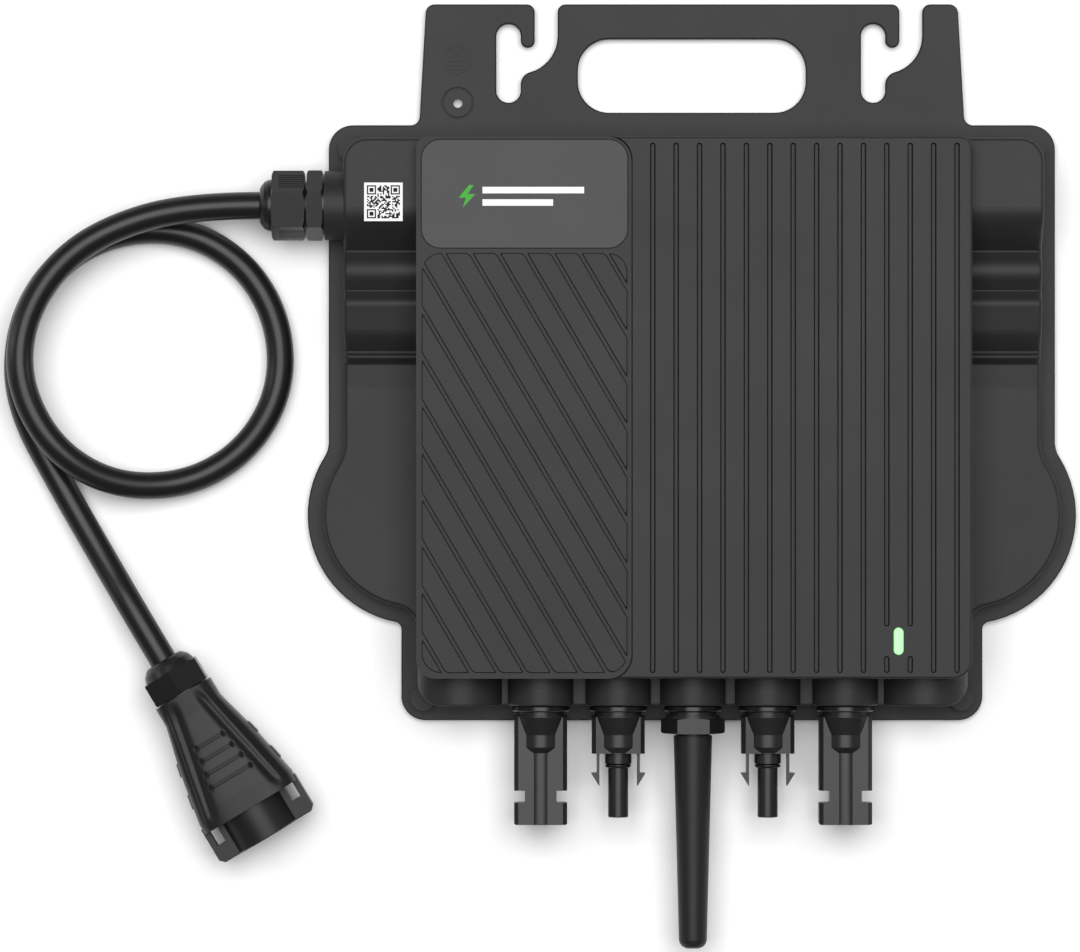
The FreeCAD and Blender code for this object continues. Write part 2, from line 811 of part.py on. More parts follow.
def make_gasket():
    z0, z1 = plate_thickness, shell_base
    outer = shell_prism(shell_inset + gasket_edge, z0, z1)
    inner = shell_prism(shell_inset + wall + gasket_edge, z0 - 1, z1 + 1)
    inner = inner.cut(box(-200, 200, enclosure_bottom, block_bottom + wall + gasket_edge, 0, overall_depth))
    ears = [rod(corner_boss_radius - gasket_edge, x, y, z0, z1) for x, y in corner_screws]
    ears += [rod(inner_boss_radius - gasket_edge, x, y, z0, z1) for x, y in inner_screws]
    holes = [
        rod(screw_radius + 0.2, x, y, z0 - 1, z1 + 1) for x, y in corner_screws + inner_screws + row_screws
    ]
    return union([outer.cut(inner)] + ears).cut(holes)


def countersunk_screw(x, y, top):
    head = turned(
        [
            (0, 0.1),
            (screw_head_radius, 0.1),
            (screw_radius, screw_head_height + 0.1),
            (screw_radius, top),
            (0, top),
        ]
    )
    socket = hex_bar(2.0, -1, 1.2, 0, 0.2)
    return head.cut(socket).translated(Vector(x, y, 0))


def make_cover_screws():
    short = [countersunk_screw(x, y, corner_boss_top - 1.0) for x, y in corner_screws]
    long = [countersunk_screw(x, y, low_height - 1.8) for x, y in inner_screws + row_screws]
    return Part.makeCompound(short + long)


def make_name_panel():
    low = rib_floor - panel_sunk
    top = low + panel_thickness
    panel = slab(pad_left, pad_right, panel_bottom, panel_top, low, top, panel_corner)
    return panel.makeFillet(0.15, edges_at(panel, top))


def make_code_label():
    half = label_size / 2
    x, y = label_x, gland_y + label_above
    return box(x - half, x + half, y - half, y + half, shoulder_height, shoulder_height + label_thickness)


# ---- connectors on the bottom wall ----------------------------------------------------------


def connector_core(flare, end):
    """Round parts that both connectors share, as (radius, height) points to the end of the
    tapered barrel."""
    return [
        (0, -stem_length),
        (stem_radius, -stem_length),
        (stem_radius, 0),
        (stem_radius + 1.0, 0),
        (stem_radius + 1.0, panel_seal_thickness + 1.4),
        (lip_radius, panel_seal_thickness + 1.5),
        (lip_radius, body_start),
        (flare, body_start + 0.1),
        (7.6, body_start + 6.3),
        (7.6, body_start + 10.7),
        (barrel_radius, body_start + 12.8),
        (barrel_radius, end),
        (0, end),
    ]


def connector_block(end):
    half, depth = body_width / 2, body_thickness / 2
    ring = [
        (-half, -depth + body_bevel),
        (-half + body_bevel, -depth),
        (half - body_bevel, -depth),
        (half, -depth + body_bevel),
        (half, depth - body_bevel),
        (half - body_bevel, depth),
        (-half + body_bevel, depth),
        (-half, depth - body_bevel),
    ]
    return prism(ring, body_start, end)


def socket_connector():
    """Connector with side windows that catch the latches of the connector that plugs into it."""
    body = union([turned(connector_core(9.4, socket_length)), connector_block(socket_length)])
    windows = []
    for side in (-1, 1):
        near, far = sorted((side * window_neck / 2, side * body_width))
        windows.append(box(near, far, -body_thickness, body_thickness, window_start, window_end))
    bore = rod(socket_bore, 0, 0, plug_body_length, socket_length + 1)
    mouth = rod(socket_mouth_radius, 0, 0, socket_length - socket_mouth_depth, socket_length + 1)
    seat = rod(contact_radius, 0, 0, -stem_length - 1, socket_length)
    body = body.cut(windows + [bore, mouth, seat])
    return body.makeChamfer(0.4, [e for e in edges_at(body, socket_length) if e.BoundBox.YLength > 6])


def plug_connector():
    """Connector with a long contact tube between two latch arms."""
    body = union([turned(connector_core(9.4, plug_body_length)), connector_block(plug_body_length)])
    collar = rod(barrel_radius - 1.35, 0, 0, plug_body_length - 1, plug_collar_length)
    neck = rod(tube_neck_radius, 0, 0, plug_body_length - 1, tube_neck_end)
    tube = rod(tube_radius, 0, 0, tube_neck_end, plug_tube_length)
    tube = tube.makeChamfer(0.3, edges_at(tube, plug_tube_length))
    body = union([body, collar, neck, tube])
    return body.cut(rod(contact_radius + 0.9, 0, 0, -stem_length - 1, plug_tube_length + 1))


def latch_arm(side):
    """Thin sprung arm with a barb on its outer side, tapering to a point at its inner side."""
    inner = latch_offset - latch_thickness / 2
    outer = latch_offset + latch_thickness / 2
    ring = [
        (inner, plug_body_length + latch_gap),
        (outer, plug_body_length + latch_gap),
        (outer, barb_start),
        (outer + barb_height, barb_start + 0.15),
        (inner + 0.25, barb_end),
        (inner, barb_end),
    ]
    points = [Vector(side * x, -latch_width / 2, z) for x, z in ring]
    face = Part.Face(Part.makePolygon(points + points[:1]))
    return face.extrude(Vector(0, latch_width, 0))


def panel_seal():
    inner = stem_radius + 1.1
    edge = 0.4
    return turned(
        [
            (inner, 0),
            (panel_seal_radius - edge, 0),
            (panel_seal_radius, edge),
            (panel_seal_radius, panel_seal_thickness - edge),
            (panel_seal_radius - edge, panel_seal_thickness),
            (inner, panel_seal_thickness),
        ]
    )


def make_connectors():
    seals, rings = [], []
    pin_end = socket_length - socket_mouth_depth - 1.0
    for side, name in ((-1, "left"), (1, "right")):
        socket_at, plug_at = row_origin(side * socket_x), row_origin(side * plug_x)
        parts["dc_socket_" + name] = place(socket_connector(), socket_at, to_bottom)
        parts["dc_plug_" + name] = place(plug_connector(), plug_at, to_bottom)
        pin = turned(
            [
                (0, -stem_length - 2),
                (contact_radius, -stem_length - 2),
                (contact_radius, pin_end - 1.0),
                (contact_radius - 0.7, pin_end),
                (0, pin_end),
            ]
        )
        parts["dc_socket_contact_" + name] = place(pin, socket_at, to_bottom)
        sleeve = tube_ring(contact_radius + 0.1, contact_radius + 0.9, 0, plug_tube_length - 0.6)
        sleeve = union([sleeve, rod(contact_radius + 0.9, 0, 0, -stem_length - 2, 0.5)])
        parts["dc_plug_contact_" + name] = place(sleeve, plug_at, to_bottom)
        for arm_name, toward in (("outer", side), ("inner", -side)):
            node = "latch_" + name + "_" + arm_name
            parts[node] = place(latch_arm(toward), plug_at, to_bottom)
        seals += [place(panel_seal(), at, to_bottom) for at in (socket_at, plug_at)]
        middle = (plug_collar_length + tube_neck_end) / 2
        ring = Part.makeTorus(tube_neck_radius + ring_section, ring_section, Vector(0, 0, middle))
        rings.append(place(ring, plug_at, to_bottom))
    seals.append(place(panel_seal(), row_origin(0), to_bottom))
    parts["panel_seals"] = Part.makeCompound(seals)
    parts["dc_plug_rings"] = Part.makeCompound(rings)


def make_antenna():
    nut = hex_bar(antenna_nut_flats, antenna_nut_start, antenna_nut_end, 0, 0.8)
    base = turned(
        [
            (0, -stem_length),
            (antenna_stem_radius, -stem_length),
            (antenna_stem_radius, 0),
            (stem_radius + 1.0, 0),
            (stem_radius + 1.0, panel_seal_thickness + 1.4),
            (lip_radius, panel_seal_thickness + 1.5),
            (lip_radius, antenna_nut_start),
            (0, antenna_nut_start),
        ]
    )
    hollow = rod(1.4, 0, 0, -stem_length - 1, antenna_nut_end + 1)
    parts["antenna_base"] = place(union([base, nut]).cut(hollow), row_origin(0), to_bottom)
    tip = antenna_tip_radius
    whip = turned(
        [
            (0, antenna_nut_end),
            (antenna_base_radius - 0.8, antenna_nut_end),
            (antenna_base_radius - 0.8, antenna_nut_end + 0.7),
            (antenna_base_radius, antenna_nut_end + 0.8),
            (tip, antenna_length - 3.0),
            (tip * 0.94, antenna_length - 1.8),
            (tip * 0.78, antenna_length - 0.7),
            (tip * 0.5, antenna_length),
            (0, antenna_length),
        ]
    )
    core_end = antenna_length - 18.0
    whip = whip.cut(rod(1.0, 0, 0, antenna_nut_end - 1, core_end))
    parts["antenna_whip"] = place(whip, row_origin(0), to_bottom)
    core = rod(0.9, 0, 0, -stem_length - 1.5, core_end - 0.5)
    parts["antenna_core"] = place(core, row_origin(0), to_bottom)


# ---- cable gland -----------------------------------------------------------------------------


def gland_nut():
    """Cap nut of the gland: hexagon with fine ribs on its flats, then a round dome."""
    start, shoulder, end = gland_boss_length + 7.1, 25.7, gland_end
    body = hex_bar(gland_nut_flats, start, shoulder, gland_turn, 1.2)
    pitch, slit, depth = 1.1, 0.44, 0.25
    face = gland_nut_flats / 2
    slits = []
    for flat in range(6):
        turn = Rotation(Vector(0, 0, 1), 60 * flat + gland_turn + 30)
        for k in range(-3, 4):
            low = k * pitch - slit / 2
            cut = box(face - depth, 2 * face, low, low + slit, start - 1, shoulder - 2.6)
            slits.append(place(cut, Vector(0, 0, 0), turn))
    body = body.cut(slits)
    dome = [(0, shoulder), (9.3, shoulder), (9.2, shoulder + 1.2), (8.5, shoulder + 2.7)]
    dome += [(7.2, shoulder + 3.8), (6.2, end), (0, end)]
    thread = gland_thread_radius + thread_fit
    bore = cable_radius + loose_fit
    hollow = [(0, start - 1), (thread, start - 1), (thread, 22.9), (8.1, 23.4), (8.1, 25.4)]
    hollow += [(bore, 28.2), (bore, end + 1), (0, end + 1)]
    return union([body, turned(dome)]).cut(turned(hollow))


def claw_slots(bore, start, end):
    slot = box(bore - 1, 9, -0.4, 0.4, start, end)
    return [place(slot, Vector(0, 0, 0), Rotation(Vector(0, 0, 1), 60 * k)) for k in range(6)]


def gland_claw():
    """Slotted ring that the cap nut squeezes onto the seal."""
    bore = cable_radius + loose_fit
    ring = turned([(bore, 22.4), (7.6, 22.4), (7.6, 25.0), (bore + 0.5, 27.0), (bore, 27.0)])
    return ring.cut(claw_slots(bore, 23.6, 28))


def make_gland():
    boss = gland_boss_length
    washer = tube_ring(gland_stem_radius + 0.1, 11.4, boss, boss + 0.7)
    flange = hex_bar(gland_flats, boss + 0.7, boss + 6.4, gland_turn, 1.0)
    stem = rod(gland_stem_radius, 0, 0, -wall, boss + 1)
    thread = rod(gland_thread_radius, 0, 0, boss + 6, 22.0)
    bore = rod(cable_radius + 0.3, 0, 0, -wall - 1, 23)
    seat = rod(6.9, 0, 0, 15.9, 23)
    body = union([flange, stem, thread]).cut([bore, seat])
    seal = tube_ring(cable_radius, 6.9, 15.9, 22.1)
    tail = rod(cable_radius, 0, 0, -wall - 6.0, gland_end)
    made = {
        "gland_washer": washer,
        "gland_body": body,
        "gland_seal": seal,
        "gland_claw": gland_claw(),
        "gland_cap_nut": gland_nut(),
        "cable_tail": tail,
    }
    for node, shape in made.items():
        parts[node] = place(shape, gland_origin, to_left)


# ---- cable -------------------------------------------------------------------------------------


def cable_tube():
    """Tube along straight runs joined by tangent arcs, as large as the runs allow."""
    points = [Vector(*p) for p in cable_points]
    edges, length, here = [], 0.0, points[0]
    for before, corner, after in zip(points, points[1:], points[2:]):
        back, ahead = before.sub(corner), after.sub(corner)
        reach = 0.45 * min(back.Length, ahead.Length)
        turn = math.pi - back.getAngle(ahead)
        radius = reach / math.tan(turn / 2)
        back.normalize()
        ahead.normalize()
        start, end = corner + back * reach, corner + ahead * reach
        inward = (back + ahead).normalize()
        depth = radius / math.cos(turn / 2) - radius
        edges.append(Part.LineSegment(here, start).toShape())
        edges.append(Part.Arc(start, corner + inward * depth, end).toShape())
        length += here.distanceToPoint(start) + radius * turn
        print("cable bend radius", round(radius, 1), "turn", round(math.degrees(turn), 1))
        here = end
    edges.append(Part.LineSegment(here, points[-1]).toShape())
    length += here.distanceToPoint(points[-1])
    first = points[1].sub(points[0])
    section = Part.Wire([Part.makeCircle(cable_radius, points[0], first)])
    solid = Part.Wire(edges).makePipeShell([section], True, False)
    expected = math.pi * cable_radius**2 * length
    print("cable length", round(length, 1), "volume", round(solid.Volume), "expected", round(expected))
    return solid


# ---- plug on the cable's end -----------------------------------------------------------------


def plug_nut():
    start, end = plug_nut_start, plug_nut_end
    dome = turned(
        [(0, 0), (6.6, 0), (7.6, 0.7), (9.0, 2.2), (9.9, start), (9.9, start + 0.1), (0, start + 0.1)]
    )
    body = hex_bar(plug_flats, start, end, 30, 1.0)
    thread = plug_thread_radius + thread_fit
    bore = cable_radius + loose_fit
    hollow = [(0, -1), (bore, -1), (bore, 1.6), (7.9, 4.2), (7.9, 6.6)]
    hollow += [(thread, 7.0), (thread, end + 5), (0, end + 5)]
    spigot = rod(plug_spigot_radius, 0, 0, end - 1, end + plug_spigot_length)
    return union([dome, body, spigot]).cut(turned(hollow))


def plug_claw():
    """Slotted ring inside the plug's nut, which grips the cable."""
    bore = cable_radius + loose_fit
    end = plug_stem_start - 0.3
    ring = turned([(bore, 2.8), (bore + 0.5, 2.8), (7.3, 5.0), (7.3, end), (bore, end)])
    return ring.cut(claw_slots(bore, 1.8, end - 1.2))


def plug_section(half_x, half_y, radius, z):
    return rounded_rect(-half_x, half_x, -half_y, half_y, radius, z)


def plug_ears():
    """The two flat ears beside the round shroud, outer corners eased, each with a window."""
    ears, windows = [], []
    half = ear_thickness / 2
    inner, outer = ear_inner - 3.0, plug_half_front
    for side in (-1, 1):
        near, far = sorted((side * inner, side * outer))
        ear = box(near, far, -half, half, plug_lip - 2.0, plug_length)
        tips = [
            edge
            for edge in ear.Edges
            if edge.BoundBox.YLength > half and abs(edge.CenterOfMass.z - plug_length) < 0.01
            and abs(edge.CenterOfMass.x - side * outer) < 0.01
        ]
        ears.append(ear.makeChamfer(ear_tip, tips))
        near, far = sorted((side * (ear_inner + 1.0), side * (ear_inner + 1.0 + ear_window)))
        start = ear_window_start
        windows.append(box(near, far, -2 * half, 2 * half, start, start + ear_window_length))
    return ears, windows


def plug_shell():
    """Plug body: a flared rounded body, a round shroud in front, and two ears with windows."""
    back, lip = plug_nut_end + loose_fit, plug_lip
    waist, shoulder = back + 8.5, lip - 7.0
    slim = plug_section(plug_half_back, plug_tall_back, 7.0, back)
    middle = plug_section(plug_half_back, plug_tall_back, 7.0, waist)
    wide = plug_section(plug_half_front - 0.9, plug_tall_front, 8.5, shoulder)
    front = plug_section(plug_half_front - 0.2, plug_tall_front, 8.5, lip)
    lofts = [Part.makeLoft(pair, True, True) for pair in ([slim, middle], [middle, wide], [wide, front])]
    shroud = rod(shroud_radius, 0, 0, lip - 1, plug_length)
    stem = rod(plug_thread_radius, 0, 0, plug_stem_start, back + 4)
    ears, windows = plug_ears()
    spigot_room = tube_ring(
        plug_thread_radius,
        plug_spigot_radius + loose_fit,
        back - 1,
        plug_nut_end + plug_spigot_length + loose_fit,
    )
    body = union(lofts + [shroud] + ears).cut(spigot_room)
    hollow = turned(
        [
            (0, 5),
            (6.7, 5),
            (6.7, 13.0),
            (cable_radius + 0.3, 13.0),
            (cable_radius + 0.3, 19.0),
            (8.6, 24.0),
            (8.6, 40.0),
            (insert_radius, 44.0),
            (insert_radius, plug_length - shroud_mouth_depth),
            (shroud_bore, plug_length - shroud_mouth_depth),
            (shroud_bore, plug_length + 1),
            (0, plug_length + 1),
        ]
    )
    return union([body, stem]).cut([hollow] + windows)


def plug_grips():
    """Shallow finger ridges, as boxes that cross the top of the flared body."""
    ridges = []
    for k, half in enumerate((5.4, 5.8, 6.2, 6.6)):
        t = 31.5 + 5.1 * k
        rise = plug_tall_back + (plug_tall_front - plug_tall_back) * (t - 22.2) / (plug_lip - 7.0 - 22.2)
        for side in (-1, 1):
            y0, y1 = sorted((side * (rise - 1.0), side * (rise + 0.35)))
            ridges.append(box(-half, half, y0, y1, t - 0.6, t + 0.6))
    return ridges


def make_plug():
    shell = union([plug_shell()] + plug_grips())
    face = plug_length - shroud_mouth_depth - face_seal_thickness
    insert = rod(insert_radius - 0.05, 0, 0, 46.0, face)
    spots = [(0.0, 5.6), (-4.9, -2.8), (4.9, -2.8)]
    insert = insert.cut([rod(2.05, x, y, 45, face + 1) for x, y in spots])
    contacts = []
    for x, y in spots:
        sleeve = tube_ring(1.3, 2.0, 50.0, face - 0.4)
        sleeve = union([sleeve, rod(2.0, 0, 0, 44.0, 51.0)])
        contacts.append(sleeve.translated(Vector(x, y, 0)))
    cores = [bar(1.2, (x * 0.42, y * 0.42, 20.0), (x, y, 44.0)) for x, y in spots]
    made = {
        "plug_shell": shell,
        "plug_nut": plug_nut(),
        "plug_insert": insert,
        "plug_contacts": Part.makeCompound(contacts),
        "plug_cores": Part.makeCompound(cores),
        "plug_face_seal": tube_ring(insert_radius - 1.6, insert_radius, face, face + face_seal_thickness),
        "plug_claw": plug_claw(),
        "plug_cable_seal": tube_ring(cable_radius, 6.7, plug_stem_start, 13.0),
        "plug_cable_end": rod(cable_radius, 0, 0, 0, 19.0),
    }
    for node, shape in made.items():
        parts[node] = place(shape, plug_origin, to_plug)


# ---- circuit board and components ----------------------------------------------------------


def make_board():
    board = box(-board_half, board_half, board_bottom, board_top, board_height, board_face)
    holes = [rod(board_screw_radius + 0.2, x, y, board_height - 1, board_face + 1) for x, y in standoffs]
    return board.cut(holes)


def make_board_screws():
    screws = []
    for x, y in standoffs:
        screws.append(
            turned(
                [
                    (0, 2.4),
                    (board_screw_radius, 2.4),
                    (board_screw_radius, board_face),
                    (2.3, board_face),
                    (2.3, board_face + 1.5),
                    (0, board_face + 1.5),
                ]
            ).translated(Vector(x, y, 0))
        )
    return Part.makeCompound(screws)


def transformer(x, y):
    """Ferrite core of two plates, a centre post and two legs, with its winding around the post."""
    z, size, depth, tall = board_face + part_gap, 36.0, 30.0, 20.0
    half = size / 2
    core = box(x - half, x + half, y - depth / 2, y + depth / 2, z, z + tall)
    gaps = [
        tube_ring(6.4, 14.0, z + 3.6, z + tall - 3.6).translated(Vector(x, y, 0)),
        box(x - 13.99, x + 13.99, y - depth, y - 5.5, z + 3.6, z + tall - 3.6),
        box(x - 13.99, x + 13.99, y + 5.5, y + depth, z + 3.6, z + tall - 3.6),
    ]
    core = core.cut(gaps)
    post = rod(6.4, x, y, z, z + tall)
    winding = tube_ring(6.6, 13.4, z + 3.9, z + tall - 3.9).translated(Vector(x, y, 0))
    return union([core, post]), winding


def wire(points, radius):
    """Lead of straight pieces joined with round elbows."""
    pieces = [bar(radius, a, b) for a, b in zip(points, points[1:])]
    pieces += [Part.makeSphere(radius, Vector(*p)) for p in points[1:-1]]
    return union(pieces)


def make_components():
    z = board_face
    parts["circuit_board"] = make_board()
    parts["board_screws"] = make_board_screws()
    cores, windings = zip(*[transformer(x, y) for x, y in ((-48.0, 26.0), (-48.0, -14.0))])
    parts["transformer_cores"] = Part.makeCompound(list(cores))
    parts["transformer_windings"] = Part.makeCompound(list(windings))
    can = turned([(0, z), (7.9, z), (8.0, z + 0.3), (8.0, z + 22.6), (7.4, z + 23.2), (0, z + 23.2)])
    cans = [can.translated(Vector(x, y, 0)) for x in (22.0, 39.5, 57.0) for y in (-62.0, -44.0)]
    parts["capacitors"] = Part.makeCompound(cans)
    film_top = z + 16.0
    films = [box(x, x + 9.0, 52.0, 70.0, z, film_top) for x in (-62.0, -49.0, -36.0)]
    films = [film.makeFillet(0.6, edges_at(film, film_top)) for film in films]
    parts["film_capacitors"] = Part.makeCompound(films)
    choke_x, choke_y = -12.0, 50.0
    parts["choke_core"] = tube_ring(6.0, 11.0, z + 1.2, z + 10.2).translated(Vector(choke_x, choke_y, 0))
    coils = []
    for k in range(12):
        if k in (0, 6):
            continue
        turn = Rotation(Vector(0, 0, 1), 30 * k)
        loop = box(5.1, 11.9, -1.1, 1.1, z + 0.3, z + 11.1)
        loop = loop.cut(box(5.99, 11.01, -2, 2, z + 1.19, z + 10.21))
        coils.append(place(loop, Vector(choke_x, choke_y, 0), turn))
    parts["choke_winding"] = Part.makeCompound(coils)
    parts["relay"] = box(-84.0, -69.0, 20.0, 48.0, z, z + 15.5)
    parts["heat_spreader"] = box(8.0, 84.0, 6.0, 14.0, z + 2.0, cavity_roof - 0.5)
    parts["thermal_pad"] = box(8.0, 84.0, 6.0, 14.0, cavity_roof - 0.5, cavity_roof)
    switches = []
    for x in (10.0, 29.0, 48.0, 67.0):
        legs = [box(x + leg, x + leg + 1.2, 2.8, 3.4, z, z + 4.2) for leg in (1.7, 7.2, 12.7)]
        switches.append(union([box(x, x + 15.6, 1.0, 5.9, z + 4.0, z + 24.0)] + legs))
    parts["power_transistors"] = Part.makeCompound(switches)
    parts["ac_terminal"] = box(-84.0, -68.0, 71.0, 84.0, z, z + 9.0)
    module = box(-9.0, 9.0, -80.0, -52.0, z + 0.8, z + 1.8)
    pads = [box(x - 0.9, x + 0.9, -79.0, -53.0, z, z + 0.81) for x in (-7.5, 7.5)]
    parts["radio_board"] = union([module] + pads)
    parts["radio_shield"] = box(-6.5, 6.5, -76.0, -60.0, z + 1.8, z + 4.4)
    parts["status_lamp"] = box(light_x - 1.4, light_x + 1.4, light_y - 1.8, light_y + 1.8, z, z + 1.6)
    pipe = stadium(light_x, light_y, light_width, light_length, z + 2.0, overall_depth + 0.3)
    parts["light_pipe"] = pipe.makeFillet(0.5, edges_at(pipe, overall_depth + 0.3))
    make_leads(z)


def make_leads(board):
    y_out = shell_bottom + stem_length + 2.0
    leads = []
    for x in (-socket_x, -plug_x, plug_x, socket_x):
        route = [(x, y_out, row_height), (x, y_out + 4.0, row_height), (x, y_out + 7.0, board)]
        leads.append(wire(route, 1.4))
    parts["dc_leads"] = Part.makeCompound(leads)
    end_x = shell_left + wall + 6.0
    ac = []
    for k, dy in enumerate((-2.9, 0.0, 2.9)):
        start = (end_x, gland_y + dy, gland_height)
        bend, end = (end_x + 14.0, gland_y + dy, 17.0), (-84.0, gland_y + dy * 1.2, board + 5.0)
        ac.append(wire([start, bend, end], 1.1))
    parts["ac_leads"] = Part.makeCompound(ac)
    coax_start = shell_bottom + stem_length + 1.5
    coax = [(0, coax_start, row_height), (0, coax_start + 3.5, 17.5), (0, -78.0, board + 1.8)]
    parts["antenna_lead"] = wire(coax, 0.7)


def main():
    parts["mounting_plate"] = make_mounting_plate()
    parts["front_housing"] = make_front_housing()
    parts["cover_gasket"] = make_gasket()
    parts["cover_screws"] = make_cover_screws()
    parts["name_panel"] = make_name_panel()
    parts["code_label"] = make_code_label()
    make_connectors()
    make_antenna()
    make_gland()
    parts["ac_cable"] = cable_tube()
    make_plug()
    make_components()
    for node, shape in parts.items():
        shape.exportStep("parts/" + node + ".step")
        solids = shape.Solids
        good = bool(solids) and all(solid.isValid() for solid in solids)
        print(node, "solids", len(solids), "volume", round(shape.Volume), "" if good else "CHECK")


main()
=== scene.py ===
import math

import bpy
import numpy as np
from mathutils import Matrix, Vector


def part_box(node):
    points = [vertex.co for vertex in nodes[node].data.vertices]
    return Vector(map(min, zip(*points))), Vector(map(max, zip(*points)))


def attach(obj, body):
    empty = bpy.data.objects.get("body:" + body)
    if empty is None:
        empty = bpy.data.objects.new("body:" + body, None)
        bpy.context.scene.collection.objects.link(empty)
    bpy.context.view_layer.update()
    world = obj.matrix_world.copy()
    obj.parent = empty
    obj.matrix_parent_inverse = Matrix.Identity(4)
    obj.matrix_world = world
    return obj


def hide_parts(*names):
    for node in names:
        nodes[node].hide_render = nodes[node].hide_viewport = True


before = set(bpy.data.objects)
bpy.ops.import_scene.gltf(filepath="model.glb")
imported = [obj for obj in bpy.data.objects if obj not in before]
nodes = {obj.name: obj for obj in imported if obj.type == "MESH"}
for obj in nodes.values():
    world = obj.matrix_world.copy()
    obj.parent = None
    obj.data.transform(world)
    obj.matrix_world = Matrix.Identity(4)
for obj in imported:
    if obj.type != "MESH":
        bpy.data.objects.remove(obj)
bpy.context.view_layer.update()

mm = 0.001


viewSettings = {
    "target": (-54.63, -19.17),  # mm, the point of the front that the camera looks down on
    "distance": 2324.0,  # mm above the back face
    "lens": 215.0,
    "sensor": 36.0,
    "floorSize": 9.0,  # m
    "floorDrop": 0.0004,  # m under the back face
    "floorColour": (0.93, 0.93, 0.93),
    "floorRough": 0.9,
    "skyColour": (0.95, 0.97, 1.0),
    "skyStrength": 0.14,
}

lightSettings = {  # places and sizes in m
    "overheadPanel": {
        "place": (-0.05, 0.5, 3.0),
        "aim": (-0.05, 0.0, 0.0),
        "size": (2.8, 2.2),
        "watts": 112.0,
    },
    "rightStrip": {"place": (1.6, 0.25, 0.35), "aim": (0, 0, 0), "size": (0.12, 1.6), "watts": 5.0},
    "leftStrip": {"place": (-1.7, 0.25, 0.35), "aim": (0, 0, 0), "size": (0.12, 1.6), "watts": 5.0},
}


def addCamera():
    x, y = (v * mm for v in viewSettings["target"])
    data = bpy.data.cameras.new("camera")
    data.lens = viewSettings["lens"]
    data.sensor_width = viewSettings["sensor"]
    data.sensor_fit = "HORIZONTAL"
    data.clip_end = 20.0
    camera = bpy.data.objects.new("camera", data)
    camera.location = (x, y, viewSettings["distance"] * mm)
    bpy.context.scene.collection.objects.link(camera)
    bpy.context.scene.camera = camera
    print("camera set")


def addLights():
    for name, light in lightSettings.items():
        data = bpy.data.lights.new(name, "AREA")
        data.shape = "RECTANGLE"
        data.size, data.size_y = light["size"]
        data.energy = light["watts"]
        lamp = bpy.data.objects.new(name, data)
        lamp.location = light["place"]
        towards = Vector(light["aim"]) - Vector(light["place"])
        lamp.rotation_euler = towards.to_track_quat("-Z", "Y").to_euler()
        bpy.context.scene.collection.objects.link(lamp)
    print("lights set:", len(lightSettings))


def addWorld():
    bpy.context.scene.view_settings.view_transform = "Standard"
    world = bpy.data.worlds.new("studio")
    world.use_nodes = True
    background = world.node_tree.nodes["Background"]
    background.inputs["Color"].default_value = (*viewSettings["skyColour"], 1)
    background.inputs["Strength"].default_value = viewSettings["skyStrength"]
    bpy.context.scene.world = world
    print("sky set")


def addFloor():
    half = viewSettings["floorSize"] / 2
    data = bpy.data.meshes.new("floor")
    corners = [(-half, -half, 0), (half, -half, 0), (half, half, 0), (-half, half, 0)]
    data.from_pydata(corners, [], [(0, 1, 2, 3)])
    floor = bpy.data.objects.new("floor", data)
    floor.location.z = -viewSettings["floorDrop"]
    bpy.context.scene.collection.objects.link(floor)
    material = bpy.data.materials.new("floorPaper")
    material.use_nodes = True
    shader = material.node_tree.nodes["Principled BSDF"]
    shader.inputs["Base Color"].default_value = (*viewSettings["floorColour"], 1)
    shader.inputs["Roughness"].default_value = viewSettings["floorRough"]
    data.materials.append(material)
    print("floor laid")


def newGroup(name, inputs, outputs):
    group = bpy.data.node_groups.new(name, "ShaderNodeTree")
    for label, kind, value in inputs:
        socket = group.interface.new_socket(label, in_out="INPUT", socket_type=kind)
        if value is not None:
            socket.default_value = value
    for label, kind in outputs:
        group.interface.new_socket(label, in_out="OUTPUT", socket_type=kind)
    return group, group.nodes.new("NodeGroupInput"), group.nodes.new("NodeGroupOutput")


def math2(tree, operation, a, b, clamp=False):
    node = tree.nodes.new("ShaderNodeMath")
    node.operation = operation
    node.use_clamp = clamp
    for socket, value in zip(node.inputs, (a, b)):
        if isinstance(value, (int, float)):
            socket.default_value = value
        else:
            tree.links.new(value, socket)
    return node.outputs[0]


def noiseAt(tree, vector, scale, detail=2.0, roughness=0.5):
    node = tree.nodes.new("ShaderNodeTexNoise")
    tree.links.new(vector, node.inputs["Vector"])
    if isinstance(scale, (int, float)):
        node.inputs["Scale"].default_value = scale
    else:
        tree.links.new(scale, node.inputs["Scale"])
    node.inputs["Detail"].default_value = detail
    node.inputs["Roughness"].default_value = roughness
    return node.outputs["Fac"]


grainShape = {
    "fine": (2.0, 0.55),  # detail and roughness of each noise
    "peel": (1.0, 0.4),
    "slow": (3.0, 0.55),
    "peelSize": 0.22,  # share of the fine grain's scale
    "slowScale": 24.0,
    "fineShare": 0.65,  # of the height, with the rest from the peel
    "speckle": 0.35,
    "polishSway": 2.0,
}


